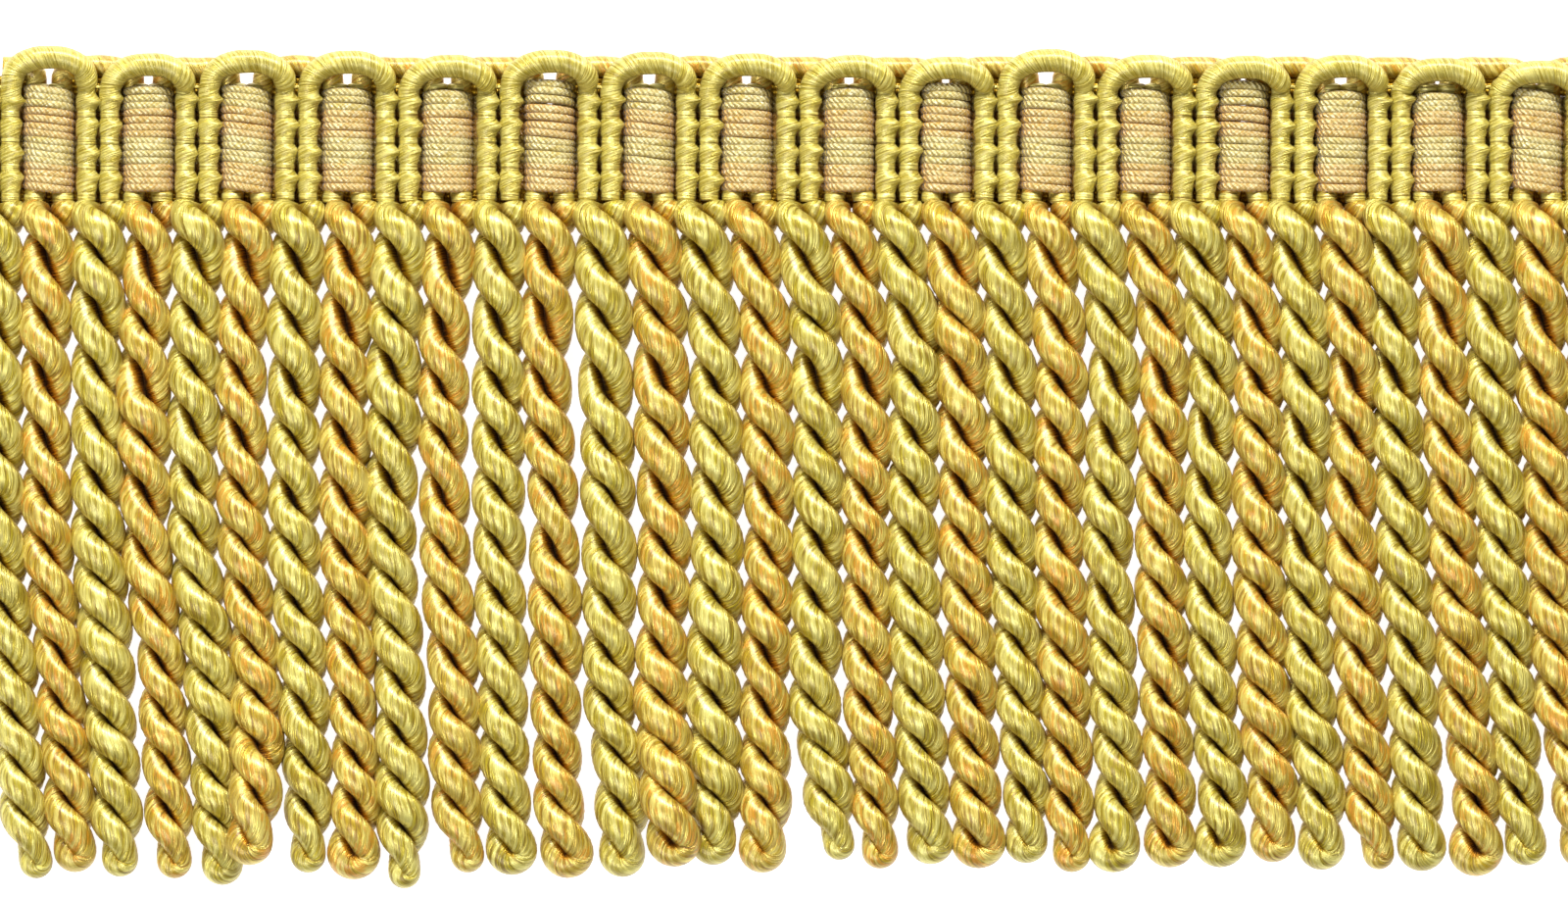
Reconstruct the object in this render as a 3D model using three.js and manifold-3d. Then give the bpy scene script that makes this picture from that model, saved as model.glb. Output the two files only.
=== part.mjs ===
import * as THREE from 'three';
import { mergeVertices } from 'three/addons/utils/BufferGeometryUtils.js';
import Module from 'manifold-3d';

const wasm = await Module();
wasm.setup();

// Bullion fringe, a cut length lying face up. Millimetres.
// X runs along the trim, Y towards its scalloped edge, Z out of its face. Z = 0 is the back, which rests.

// Repeat of the heading: one block with its scallop. Two ropes hang under each repeat.
const repeat = 12.13;
const clearance = 0.3;

// Warp band: it humps over the gold legs as the blocks and lies flat behind the olive legs.
const bandThickness = 0.9;
const bandTop = 5.8;
const bandHeight = 12.5;
const blockHalfWidth = 2.75;
const blockRise = 3.5;
const blockWall = 0.75;
const bandMargin = 0.5;

// Half of a block's profile and of the hollow behind it, foot to middle: how far in, how far below the top
const blockShoulder = [
  { inwards: 0, drop: blockRise - bandThickness },
  { inwards: 0, drop: 1.2 },
  { inwards: 0.8, drop: 0.3 },
  { inwards: 1.9, drop: 0 },
];
const hollowShoulder = [
  { inwards: 0, drop: blockRise - bandThickness },
  { inwards: 0, drop: 0.5 },
  { inwards: 0.4, drop: 0 },
];

// Olive gimp: pairs of legs between the blocks, joined over each block by a scallop.
const pairHalf = 1.36;
const oliveHalfWidth = 1.42;
const oliveHalfThickness = 1.3;
const oliveLegZ = bandThickness + clearance + oliveHalfThickness;
const scallopHalfWidth = 1.45;
const legTop = 5.2;
const legBottom = -6.7;

// Gold gimp: a pair of legs under each block, joined from block to block by a loop behind the scallops.
const goldPairHalf = 0.82;
const goldLegHalfWidth = 0.88;
const goldHalfThickness = 1.15;
const loopHalfWidth = 1.3;
const loopY = 8.6;
const crossingGap = 0.4;
const scallopZ = 2 * goldHalfThickness + crossingGap + oliveHalfThickness;
const cordSides = 6;
const cordFlat = Math.sin(Math.PI / 3);

// Ropes: two plies twisted together, so the section is long one way and thin the other.
const ridgeRadius = 2.9;
const waistRadius = 1.9;
const rootY = -7.56;
const ropeSides = 4;
const tightening = 0.15;
const tipRounding = 2.4;
const bluntRidge = 0.45;
const bluntWaist = 0.5;
const ringTwist = 60;
const curlLength = 7;
const liftLength = 14;

// Root strip: the bound row that every rope starts from.
const stripTop = -7.0;
const stripHeight = 1.1;
const stripThickness = 3.0;

// One row a block, left to right: its shift from the even repeat, and its scallop's outer top.
const blocks = [
  { shift: -0.6, crown: 11.3 },
  { shift: -0.6, crown: 10.4 },
  { shift: -0.7, crown: 10.8 },
  { shift: -0.5, crown: 10.7 },
  { shift: -0.4, crown: 10.2 },
  { shift: 0.0, crown: 10.8 },
  { shift: 0.0, crown: 10.6 },
  { shift: -0.2, crown: 10.4 },
  { shift: 0.2, crown: 10.2 },
  { shift: -0.1, crown: 10.0 },
  { shift: 0.0, crown: 10.9 },
  { shift: 0.0, crown: 10.2 },
  { shift: -0.1, crown: 10.1 },
  { shift: -0.3, crown: 10.2 },
  { shift: -0.6, crown: 9.8 },
  { shift: -0.6, crown: 9.5 },
];

const depths = { upper: 20, middle: 40, lower: 60, foot: 72 };

// One row a rope, left to right. Sideways shifts from the even place at the root, at the depths above and
// at the tip, then the drop to the tip, the width of the end curl, half turns and the tip's lift.
const ropes = [
  { root: -0.6, upper: -0.6, middle: -0.6, lower: 1.2, foot: 2.2, tip: 4.2, drop: 82.9, curl: 4.0, folds: 12, lift: 0 },
  { root: -0.4, upper: -0.9, middle: -0.7, lower: 1.0, foot: 2.0, tip: 2.9, drop: 82.1, curl: 5.0, folds: 12, lift: 0 },
  { root: -0.3, upper: -0.6, middle: -0.5, lower: 0.7, foot: 1.6, tip: 2.2, drop: 82.6, curl: 4.2, folds: 13, lift: 0 },
  { root: -0.2, upper: -1.0, middle: -0.8, lower: 1.3, foot: 1.9, tip: 2.8, drop: 82.9, curl: 4.2, folds: 12, lift: 0 },
  { root: -0.3, upper: -0.9, middle: -1.0, lower: 1.1, foot: 1.7, tip: 2.6, drop: 83.6, curl: 4.8, folds: 13, lift: 0 },
  { root: -0.1, upper: -1.3, middle: -1.0, lower: 0.7, foot: 0.7, tip: -0.4, drop: 81.0, curl: 5.4, folds: 12, lift: 3.4 },
  { root: -0.3, upper: -0.8, middle: -0.9, lower: 0.3, foot: 0.9, tip: 0.8, drop: 82.2, curl: 4.2, folds: 12, lift: 0 },
  { root: 0.1, upper: -0.7, middle: -0.6, lower: 0.2, foot: 0.7, tip: 0.3, drop: 82.9, curl: 6.2, folds: 12, lift: 0 },
  { root: 0.0, upper: -0.8, middle: -1.2, lower: -0.1, foot: 0.2, tip: 0.5, drop: 84.0, curl: 3.2, folds: 13, lift: 0 },
  { root: 0.1, upper: -0.9, middle: -0.7, lower: 0.5, foot: 0.7, tip: 2.3, drop: 82.2, curl: 4.0, folds: 12, lift: 0 },
  { root: 0.0, upper: -0.1, middle: -0.1, lower: 0.4, foot: 0.6, tip: 1.7, drop: 82.4, curl: 6.0, folds: 12, lift: 0 },
  { root: 0.2, upper: -0.6, middle: 0.6, lower: 0.8, foot: 1.0, tip: 2.5, drop: 82.8, curl: 6.2, folds: 12, lift: 0 },
  { root: 0.3, upper: 0.7, middle: 1.2, lower: 1.2, foot: 2.8, tip: 2.8, drop: 82.7, curl: 5.4, folds: 12, lift: 0 },
  { root: 0.4, upper: 1.5, middle: 2.0, lower: 1.5, foot: 2.4, tip: 3.4, drop: 81.4, curl: 7.0, folds: 12, lift: 3.0 },
  { root: 0.4, upper: 2.1, middle: 2.3, lower: 1.9, foot: 2.1, tip: 1.6, drop: 81.2, curl: 5.3, folds: 12, lift: 0 },
  { root: 0.5, upper: 2.3, middle: 2.6, lower: 2.1, foot: 2.1, tip: 1.7, drop: 82.1, curl: 5.5, folds: 12, lift: 0 },
  { root: 0.5, upper: 2.4, middle: 2.6, lower: 2.0, foot: 3.8, tip: 5.2, drop: 80.6, curl: 3.6, folds: 12, lift: 0 },
  { root: 0.5, upper: 2.3, middle: 2.3, lower: 2.5, foot: 3.3, tip: 4.1, drop: 81.6, curl: 4.2, folds: 12, lift: 0 },
  { root: 0.1, upper: 2.3, middle: 1.9, lower: 2.5, foot: 3.3, tip: 4.2, drop: 81.1, curl: 5.4, folds: 12, lift: 0 },
  { root: 0.4, upper: 1.7, middle: 2.2, lower: 3.0, foot: 3.5, tip: 4.0, drop: 81.6, curl: 6.4, folds: 12, lift: 0 },
  { root: 0.3, upper: 1.7, middle: 1.8, lower: 2.9, foot: 3.7, tip: 3.6, drop: 81.0, curl: 5.0, folds: 12, lift: 0 },
  { root: 0.4, upper: 1.8, middle: 1.5, lower: 2.3, foot: 2.8, tip: 3.2, drop: 82.0, curl: 4.3, folds: 12, lift: 0 },
  { root: 0.1, upper: 2.3, middle: 1.4, lower: 2.1, foot: 3.0, tip: 1.8, drop: 82.1, curl: 6.2, folds: 12, lift: 0 },
  { root: 0.3, upper: 2.4, middle: 1.8, lower: 2.4, foot: 3.1, tip: 2.9, drop: 81.6, curl: 6.2, folds: 12, lift: 0 },
  { root: 0.2, upper: 2.2, middle: 1.5, lower: 2.1, foot: 3.4, tip: 2.8, drop: 81.5, curl: 6.2, folds: 12, lift: 0 },
  { root: 0.1, upper: 1.8, middle: 1.7, lower: 2.3, foot: 3.5, tip: 3.4, drop: 80.9, curl: 5.4, folds: 12, lift: 0 },
  { root: -0.2, upper: 1.4, middle: 1.2, lower: 1.8, foot: 3.2, tip: 3.4, drop: 81.8, curl: 5.5, folds: 12, lift: 0 },
  { root: 0.0, upper: 1.2, middle: 0.9, lower: 2.1, foot: 3.1, tip: 4.4, drop: 81.8, curl: 3.6, folds: 12, lift: 0 },
  { root: -0.4, upper: 0.2, middle: 1.1, lower: 2.3, foot: 2.8, tip: 3.7, drop: 82.0, curl: 5.8, folds: 12, lift: 0 },
  { root: -0.1, upper: 0.1, middle: 1.2, lower: 2.4, foot: 4.1, tip: 4.1, drop: 82.6, curl: 6.5, folds: 12, lift: 0 },
  { root: -0.4, upper: -0.1, middle: 1.0, lower: 2.3, foot: 3.2, tip: 4.2, drop: 81.2, curl: 4.8, folds: 12, lift: 0 },
  { root: -0.3, upper: -0.1, middle: 0.9, lower: 1.9, foot: 4.1, tip: 4.8, drop: 81.6, curl: 5.0, folds: 12, lift: 0 },
  { root: -0.6, upper: -0.1, middle: 0.9, lower: 2.1, foot: 3.5, tip: 4.5, drop: 82.0, curl: 5.0, folds: 12, lift: 0 },
];

const blockX = blocks.map((block, index) => (index - (blocks.length - 1) / 2) * repeat + block.shift);
const leftPairX = blockX[0] - repeat / 2;
const rightPairX = blockX[blockX.length - 1] + repeat / 2;
const betweenX = blockX.slice(1).map((x, index) => (x + blockX[index]) / 2);
const pairX = [leftPairX, ...betweenX, rightPairX];
const bandLeft = leftPairX - pairHalf - oliveHalfWidth - bandMargin;
const bandRight = rightPairX + pairHalf + oliveHalfWidth + bandMargin;

const olive = new THREE.MeshStandardMaterial({ color: 0xc8b86a, roughness: 0.5, metalness: 0 });
const gold = new THREE.MeshStandardMaterial({ color: 0xd0a050, roughness: 0.5, metalness: 0 });
const cream = new THREE.MeshStandardMaterial({ color: 0xe8d6a8, roughness: 0.8, metalness: 0 });
const bullion = new THREE.MeshStandardMaterial({ color: 0xc2ad55, roughness: 0.5, metalness: 0 });

// Solids and meshes
function toSolid(geometry) {
  geometry.deleteAttribute('normal');
  geometry.deleteAttribute('uv');
  const welded = mergeVertices(geometry, 1e-4);
  return new wasm.Manifold(new wasm.Mesh({
    numProp: 3,
    vertProperties: Float32Array.from(welded.attributes.position.array),
    triVerts: Uint32Array.from(welded.index.array),
  }));
}

function toMesh(name, solid, material) {
  const result = solid.getMesh();
  const geometry = new THREE.BufferGeometry();
  geometry.setAttribute('position', new THREE.BufferAttribute(Float32Array.from(result.vertProperties), 3));
  geometry.setIndex(new THREE.BufferAttribute(Uint32Array.from(result.triVerts), 1));
  geometry.computeVertexNormals();
  const mesh = new THREE.Mesh(geometry, material);
  mesh.name = name;
  return mesh;
}

function joinAll(solids) {
  return solids.reduce((whole, solid) => whole.add(solid));
}

// A cord laid through stations. Each station has a place, the direction of travel in the XY plane in
// degrees, and its half width across that direction.
function layCord(stations, halfThickness) {
  const rows = stations.length - 1;
  const geometry = new THREE.CylinderGeometry(1, 1, 1, cordSides, rows);
  const position = geometry.attributes.position;
  for (let i = 0; i < position.count; i += 1) {
    const row = Math.round((0.5 - position.getY(i)) * rows);
    const { x, y, z, travel, halfWidth } = stations[row];
    const angle = THREE.MathUtils.degToRad(travel);
    const across = position.getX(i) / cordFlat * halfWidth;
    const out = position.getZ(i) * halfThickness;
    position.setXYZ(i, x - Math.sin(angle) * across, y + Math.cos(angle) * across, z + out);
  }
  return toSolid(geometry);
}

// Warp band
function shoulderPoints(x, side, half, top, shoulder) {
  return shoulder.map(({ inwards, drop }) => ({ x: x + side * (half - inwards), y: top - drop }));
}

function warpBand() {
  const hollowHalf = blockHalfWidth - blockWall;
  const hollowTop = blockRise - bandThickness;
  const outline = new THREE.Shape();
  outline.moveTo(bandLeft, bandThickness);
  for (const x of blockX) {
    const left = shoulderPoints(x, -1, blockHalfWidth, blockRise, blockShoulder);
    const right = shoulderPoints(x, 1, blockHalfWidth, blockRise, blockShoulder).reverse();
    for (const point of [...left, ...right]) {
      outline.lineTo(point.x, point.y);
    }
  }
  outline.lineTo(bandRight, bandThickness);
  outline.lineTo(bandRight, 0);
  for (const x of [...blockX].reverse()) {
    const right = shoulderPoints(x, 1, hollowHalf, hollowTop, hollowShoulder);
    const left = shoulderPoints(x, -1, hollowHalf, hollowTop, hollowShoulder).reverse();
    for (const point of [...right, ...left]) {
      outline.lineTo(point.x, point.y);
    }
  }
  outline.lineTo(bandLeft, 0);
  const geometry = new THREE.ExtrudeGeometry(outline, { depth: bandHeight, bevelEnabled: false });
  geometry.rotateX(Math.PI / 2);
  geometry.translate(0, bandTop, 0);
  return toSolid(geometry);
}

// Olive scallops with their legs, and the cut-off leg at each end
function oliveLeg(x, top) {
  const halfWidth = oliveHalfWidth;
  return layCord([
    { x, y: legBottom, z: oliveLegZ, travel: 90, halfWidth },
    { x, y: top, z: oliveLegZ, travel: 90, halfWidth },
  ], oliveHalfThickness);
}

function scallop(index) {
  const x = blockX[index];
  const leftLeg = pairX[index] + pairHalf;
  const rightLeg = pairX[index + 1] - pairHalf;
  const crownY = blocks[index].crown - scallopHalfWidth;
  const legWidth = oliveHalfWidth;
  const wide = scallopHalfWidth;
  const risingZ = (oliveLegZ + scallopZ) / 2;
  return layCord([
    { x: leftLeg, y: legBottom, z: oliveLegZ, travel: 90, halfWidth: legWidth },
    { x: leftLeg, y: legTop - 1, z: oliveLegZ, travel: 90, halfWidth: legWidth },
    { x: leftLeg + 0.2, y: legTop + 0.9, z: risingZ, travel: 76, halfWidth: legWidth },
    { x: leftLeg + 1.1, y: crownY - 1.3, z: scallopZ, travel: 54, halfWidth: wide },
    { x: x - 1.5, y: crownY - 0.2, z: scallopZ, travel: 20, halfWidth: wide },
    { x: x + 0.6, y: crownY, z: scallopZ, travel: 0, halfWidth: wide },
    { x: x + 2.6, y: crownY - 0.5, z: scallopZ, travel: -24, halfWidth: wide },
    { x: rightLeg - 0.4, y: crownY - 1.7, z: scallopZ, travel: -62, halfWidth: wide },
    { x: rightLeg, y: legTop + 0.9, z: risingZ, travel: -88, halfWidth: legWidth },
    { x: rightLeg, y: legTop - 1, z: oliveLegZ, travel: -90, halfWidth: legWidth },
    { x: rightLeg, y: legBottom, z: oliveLegZ, travel: -90, halfWidth: legWidth },
  ], oliveHalfThickness);
}

function scallopGimp() {
  const arches = blockX.map((x, index) => scallop(index));
  const leftStub = oliveLeg(leftPairX - pairHalf, legTop + 1);
  const rightStub = oliveLeg(rightPairX + pairHalf, legTop + 1);
  return joinAll([leftStub, ...arches, rightStub]);
}

// Gold loops behind the scallops, with their legs under the blocks
function goldLegStations(x, towards) {
  const z = goldHalfThickness;
  const halfWidth = goldLegHalfWidth;
  return [
    { x: x + towards * goldPairHalf, y: legBottom, z, travel: 90, halfWidth },
    { x: x + towards * goldPairHalf, y: bandTop + 0.3, z, travel: 90, halfWidth },
    { x: x + towards * (goldPairHalf + 0.4), y: bandTop + 1.5, z, travel: 90 - towards * 35, halfWidth: 1.05 },
    { x: x + towards * (goldPairHalf + 1.8), y: loopY - 0.4, z, travel: 90 - towards * 72, halfWidth: loopHalfWidth },
  ];
}

function loopMiddle(x) {
  return { x, y: loopY, z: goldHalfThickness, travel: 0, halfWidth: loopHalfWidth };
}

function goldLoop(index) {
  const rising = goldLegStations(blockX[index], 1);
  const falling = goldLegStations(blockX[index + 1], -1).reverse();
  const turned = falling.map((station) => ({ ...station, travel: station.travel - 180 }));
  return layCord([...rising, loopMiddle(pairX[index + 1]), ...turned], goldHalfThickness);
}

function loopGimp() {
  const last = blockX.length - 1;
  const loops = blockX.slice(0, last).map((x, index) => goldLoop(index));
  const leftEnd = goldLegStations(blockX[0], -1);
  const rightEnd = goldLegStations(blockX[last], 1);
  const leftCut = { ...loopMiddle(leftPairX), travel: 180 };
  const leftStub = layCord([...leftEnd, leftCut], goldHalfThickness);
  const rightStub = layCord([...rightEnd, loopMiddle(rightPairX)], goldHalfThickness);
  return joinAll([leftStub, ...loops, rightStub]);
}

// Ropes
function ropeX(index, below) {
  const rope = ropes[index];
  const even = (index - (ropes.length - 1) / 2) * repeat / 2;
  const places = [
    { below: 0, shift: rope.root },
    { below: depths.upper, shift: rope.upper },
    { below: depths.middle, shift: rope.middle },
    { below: depths.lower, shift: rope.lower },
    { below: depths.foot, shift: rope.foot },
    { below: rope.drop, shift: rope.tip },
  ];
  const next = places.findIndex((place, i) => i > 0 && below <= place.below);
  const to = places[next < 0 ? places.length - 1 : next];
  const from = places[next < 0 ? places.length - 2 : next - 1];
  const part = Math.min((below - from.below) / (to.below - from.below), 1);
  const eased = part * part * (3 - 2 * part);
  return even + from.shift + (to.shift - from.shift) * eased;
}

// Half the room between this rope and its nearer neighbour, which keeps them apart
function ropeRoom(index, below) {
  const here = ropeX(index, below);
  const neighbours = [index - 1, index + 1].filter((i) => i >= 0 && i < ropes.length);
  const distances = neighbours.map((i) => Math.abs(ropeX(i, below) - here));
  return (Math.min(...distances) - clearance) / 2;
}

// Rings every 60 degrees of twist, placed so that each half turn has one with its ridge straight down
function ringTwists(folds) {
  const twists = [0];
  for (let twist = ringTwist / 2; twist < folds * 180; twist += ringTwist) {
    twists.push(twist);
  }
  twists.push(folds * 180);
  return twists;
}

// How far down the rope a twist is reached. The twist tightens towards the tip.
function twistDepth(twist, folds) {
  const reached = twist / (folds * 180);
  const slack = 1 - tightening;
  return (Math.sqrt(slack * slack + 4 * tightening * reached) - slack) / (2 * tightening);
}

function rope(index) {
  const { drop, folds, curl, lift } = ropes[index];
  const rings = ringTwists(folds).map((twist) => {
    const below = drop * twistDepth(twist, folds);
    const toTip = drop - below;
    const curled = THREE.MathUtils.smoothstep(below, drop - curlLength, drop - curlLength / 2);
    const wanted = THREE.MathUtils.lerp(ridgeRadius, curl / 2, curled);
    const rounding = toTip < tipRounding ? Math.sqrt(1 - (1 - toTip / tipRounding) ** 2) : 1;
    const lifted = lift * THREE.MathUtils.smoothstep(below, drop - liftLength, drop - curlLength);
    const room = ropeRoom(index, below);
    const ridge = lifted > 0 ? wanted : Math.min(wanted, room);
    return {
      x: ropeX(index, below),
      y: rootY - below,
      z: Math.min(ridge, room) + lifted,
      twist: THREE.MathUtils.degToRad(twist),
      ridge: ridge * Math.max(rounding, bluntRidge),
      waist: Math.min(waistRadius, ridge) * Math.max(rounding, bluntWaist),
    };
  });
  const rows = rings.length - 1;
  const geometry = new THREE.CylinderGeometry(1, 1, 1, ropeSides, rows);
  const position = geometry.attributes.position;
  for (let i = 0; i < position.count; i += 1) {
    const { x, y, z, twist, ridge, waist } = rings[Math.round((0.5 - position.getY(i)) * rows)];
    const long = position.getX(i) * ridge;
    const thin = position.getZ(i) * waist;
    const sideways = long * Math.cos(twist) + thin * Math.sin(twist);
    const outwards = thin * Math.cos(twist) - long * Math.sin(twist);
    position.setXYZ(i, x + sideways, y, z + outwards);
  }
  return toSolid(geometry);
}

function rootStrip() {
  const length = bandRight - bandLeft;
  const geometry = new THREE.BoxGeometry(length, stripHeight, stripThickness);
  geometry.translate(bandLeft + length / 2, stripTop - stripHeight / 2, stripThickness / 2);
  return toSolid(geometry);
}

function bullionFringe() {
  return joinAll([rootStrip(), ...ropes.map((row, index) => rope(index))]);
}

const trim = new THREE.Group();
trim.add(toMesh('warp_band', warpBand(), cream));
trim.add(toMesh('scallop_gimp', scallopGimp(), olive));
trim.add(toMesh('loop_gimp', loopGimp(), gold));
trim.add(toMesh('bullion_fringe', bullionFringe(), bullion));

export default trim;
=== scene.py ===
import math
import random

import bmesh
import bpy
import numpy as np
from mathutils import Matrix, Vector


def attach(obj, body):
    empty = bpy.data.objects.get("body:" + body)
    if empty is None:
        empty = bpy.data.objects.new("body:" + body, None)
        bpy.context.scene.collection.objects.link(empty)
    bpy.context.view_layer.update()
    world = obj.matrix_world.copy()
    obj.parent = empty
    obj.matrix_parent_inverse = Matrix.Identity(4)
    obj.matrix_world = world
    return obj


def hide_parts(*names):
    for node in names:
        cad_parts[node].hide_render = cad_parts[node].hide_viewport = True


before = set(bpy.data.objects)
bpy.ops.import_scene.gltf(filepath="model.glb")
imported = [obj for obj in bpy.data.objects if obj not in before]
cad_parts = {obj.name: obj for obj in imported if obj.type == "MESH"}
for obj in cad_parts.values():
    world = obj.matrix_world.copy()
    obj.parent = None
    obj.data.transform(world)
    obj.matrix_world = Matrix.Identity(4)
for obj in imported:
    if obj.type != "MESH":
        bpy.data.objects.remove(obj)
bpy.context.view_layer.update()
mm = 0.001

# The view. The photo is 1600 x 916 pixels and looks straight down on the trim.
view = {
    "pixel": 0.12,  # mm of trim for each photo pixel
    "width": 1600,
    "middleX": 814,  # photo pixel of the frame's X = 0
    "middleY": 142,  # photo pixel of the frame's Y = 0
    "height": 916,
    "distance": 1400,  # mm above the floor
    "sensor": 36,
}

# What the heading and the ropes share, in mm, as the solids have it
trim = {
    "repeat": 12.13,
    "pairHalf": 1.4,  # olive legs, from the middle of their pair
    "goldHalf": 1.56,  # gold legs, from the middle of their block
    "bandRows": [5.95, 2.9, -0.3, -3.5, -7.1],  # heights of the thread bindings
    "ropeRoot": -7.35,
}

# One row a block, in mm: its shift from the even repeat, its scallop's outer top, how far its upper yarns
# ride up, and half the gap between the gold legs under the scallop
blocks = [
    {"shift": -0.6, "crown": 11.3, "ride": 0.3, "gap": 0.35},
    {"shift": -0.6, "crown": 10.4, "ride": 0.2, "gap": 0.6},
    {"shift": -0.7, "crown": 10.8, "ride": 0.2, "gap": 0.85},
    {"shift": -0.5, "crown": 10.7, "ride": -0.05, "gap": 0.55},
    {"shift": -0.4, "crown": 10.2, "ride": -0.2, "gap": 0.5},
    {"shift": 0.0, "crown": 10.8, "ride": 1.0, "gap": 0.8},
    {"shift": 0.0, "crown": 10.6, "ride": -0.1, "gap": 0.8},
    {"shift": -0.2, "crown": 10.4, "ride": 0.1, "gap": 0.6},
    {"shift": 0.2, "crown": 10.2, "ride": -0.1, "gap": 0.6},
    {"shift": -0.1, "crown": 10.0, "ride": 0.5, "gap": 0.5},
    {"shift": 0.0, "crown": 10.9, "ride": 0.0, "gap": 0.9},
    {"shift": 0.0, "crown": 10.2, "ride": -0.2, "gap": 0.8},
    {"shift": -0.1, "crown": 10.1, "ride": 0.8, "gap": 0.3},
    {"shift": -0.3, "crown": 10.2, "ride": -0.5, "gap": 0.8},
    {"shift": -0.6, "crown": 9.8, "ride": -0.5, "gap": 0.3},
    {"shift": -0.6, "crown": 9.5, "ride": -0.2, "gap": 0.2},
]

# One row a rope, in mm: its sideways shifts at the root, at four depths and at the tip, its drop from the
# root strip, the width of its end curl, its half turns, and how far its tip lies up on a neighbour
ropeDepths = {"upper": 20, "middle": 40, "lower": 60, "foot": 72}
ropeColumns = ("root", *ropeDepths, "tip", "drop", "curl", "folds", "lift")
ropeTable = [
    (-0.6, -0.6, -0.6, 1.2, 2.2, 4.2, 82.9, 4.0, 12, 0),
    (-0.4, -0.9, -0.7, 1.0, 2.0, 2.9, 82.1, 5.0, 12, 0),
    (-0.3, -0.6, -0.5, 0.7, 1.6, 2.2, 82.6, 4.2, 13, 0),
    (-0.2, -1.0, -0.8, 1.3, 1.9, 2.8, 82.9, 4.2, 12, 0),
    (-0.3, -0.9, -1.0, 1.1, 1.7, 2.6, 83.6, 4.8, 13, 0),
    (-0.1, -1.3, -1.0, 0.7, 0.7, -0.4, 81.0, 5.4, 12, 3.4),
    (-0.3, -0.8, -0.9, 0.3, 0.9, 0.8, 82.2, 4.2, 12, 0),
    (0.1, -0.7, -0.6, 0.2, 0.7, 0.3, 82.9, 6.2, 12, 0),
    (0.0, -0.8, -1.2, -0.1, 0.2, 0.5, 84.0, 3.2, 13, 0),
    (0.1, -0.9, -0.7, 0.5, 0.7, 2.3, 82.2, 4.0, 12, 0),
    (0.0, -0.1, -0.1, 0.4, 0.6, 1.7, 82.4, 6.0, 12, 0),
    (0.2, -0.6, 0.6, 0.8, 1.0, 2.5, 82.8, 6.2, 12, 0),
    (0.3, 0.7, 1.2, 1.2, 2.8, 2.8, 82.7, 5.4, 12, 0),
    (0.4, 1.5, 2.0, 1.5, 2.4, 3.4, 81.4, 7.0, 12, 3.0),
    (0.4, 2.1, 2.3, 1.9, 2.1, 1.6, 81.2, 5.3, 12, 0),
    (0.5, 2.3, 2.6, 2.1, 2.1, 1.7, 82.1, 5.5, 12, 0),
    (0.5, 2.4, 2.6, 2.0, 3.8, 5.2, 80.6, 3.6, 12, 0),
    (0.5, 2.3, 2.3, 2.5, 3.3, 4.1, 81.6, 4.2, 12, 0),
    (0.1, 2.3, 1.9, 2.5, 3.3, 4.2, 81.1, 5.4, 12, 0),
    (0.4, 1.7, 2.2, 3.0, 3.5, 4.0, 81.6, 6.4, 12, 0),
    (0.3, 1.7, 1.8, 2.9, 3.7, 3.6, 81.0, 5.0, 12, 0),
    (0.4, 1.8, 1.5, 2.3, 2.8, 3.2, 82.0, 4.3, 12, 0),
    (0.1, 2.3, 1.4, 2.1, 3.0, 1.8, 82.1, 6.2, 12, 0),
    (0.3, 2.4, 1.8, 2.4, 3.1, 2.9, 81.6, 6.2, 12, 0),
    (0.2, 2.2, 1.5, 2.1, 3.4, 2.8, 81.5, 6.2, 12, 0),
    (0.1, 1.8, 1.7, 2.3, 3.5, 3.4, 80.9, 5.4, 12, 0),
    (-0.2, 1.4, 1.2, 1.8, 3.2, 3.4, 81.8, 5.5, 12, 0),
    (0.0, 1.2, 0.9, 2.1, 3.1, 4.4, 81.8, 3.6, 12, 0),
    (-0.4, 0.2, 1.1, 2.3, 2.8, 3.7, 82.0, 5.8, 12, 0),
    (-0.1, 0.1, 1.2, 2.4, 4.1, 4.1, 82.6, 6.5, 12, 0),
    (-0.4, -0.1, 1.0, 2.3, 3.2, 4.2, 81.2, 4.8, 12, 0),
    (-0.3, -0.1, 0.9, 1.9, 4.1, 4.8, 81.6, 5.0, 12, 0),
    (-0.6, -0.1, 0.9, 2.1, 3.5, 4.5, 82.0, 5.0, 12, 0),
]
ropeRows = [dict(zip(ropeColumns, row)) for row in ropeTable]


def done(text):
    print("trim:", text)


def ease(value, low, high):
    part = np.clip((value - low) / (high - low), 0, 1)
    return part * part * (3 - 2 * part)


def bandX():
    even = (len(blocks) - 1) / 2
    return [(i - even) * trim["repeat"] + block["shift"] for i, block in enumerate(blocks)]


blockX = bandX()
pairX = [blockX[0] - trim["repeat"] / 2]
pairX += [(left + right) / 2 for left, right in zip(blockX, blockX[1:])]
pairX += [blockX[-1] + trim["repeat"] / 2]


# Node groups that several finishes share
def newGroup(name, inputs, outputs):
    group = bpy.data.node_groups.new(name, "ShaderNodeTree")
    for label, kind, value in inputs:
        socket = group.interface.new_socket(label, in_out="INPUT", socket_type=kind)
        if value is not None:
            socket.default_value = value
    for label, kind in outputs:
        group.interface.new_socket(label, in_out="OUTPUT", socket_type=kind)
    return group, group.nodes.new("NodeGroupInput"), group.nodes.new("NodeGroupOutput")


def mathNode(tree, operation, first, second=None):
    node = tree.nodes.new("ShaderNodeMath")
    node.operation = operation
    for socket, value in zip(node.inputs, (first, second)):
        if value is None:
            continue
        if isinstance(value, (int, float)):
            socket.default_value = value
        else:
            tree.links.new(value, socket)
    return node.outputs[0]


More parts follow.
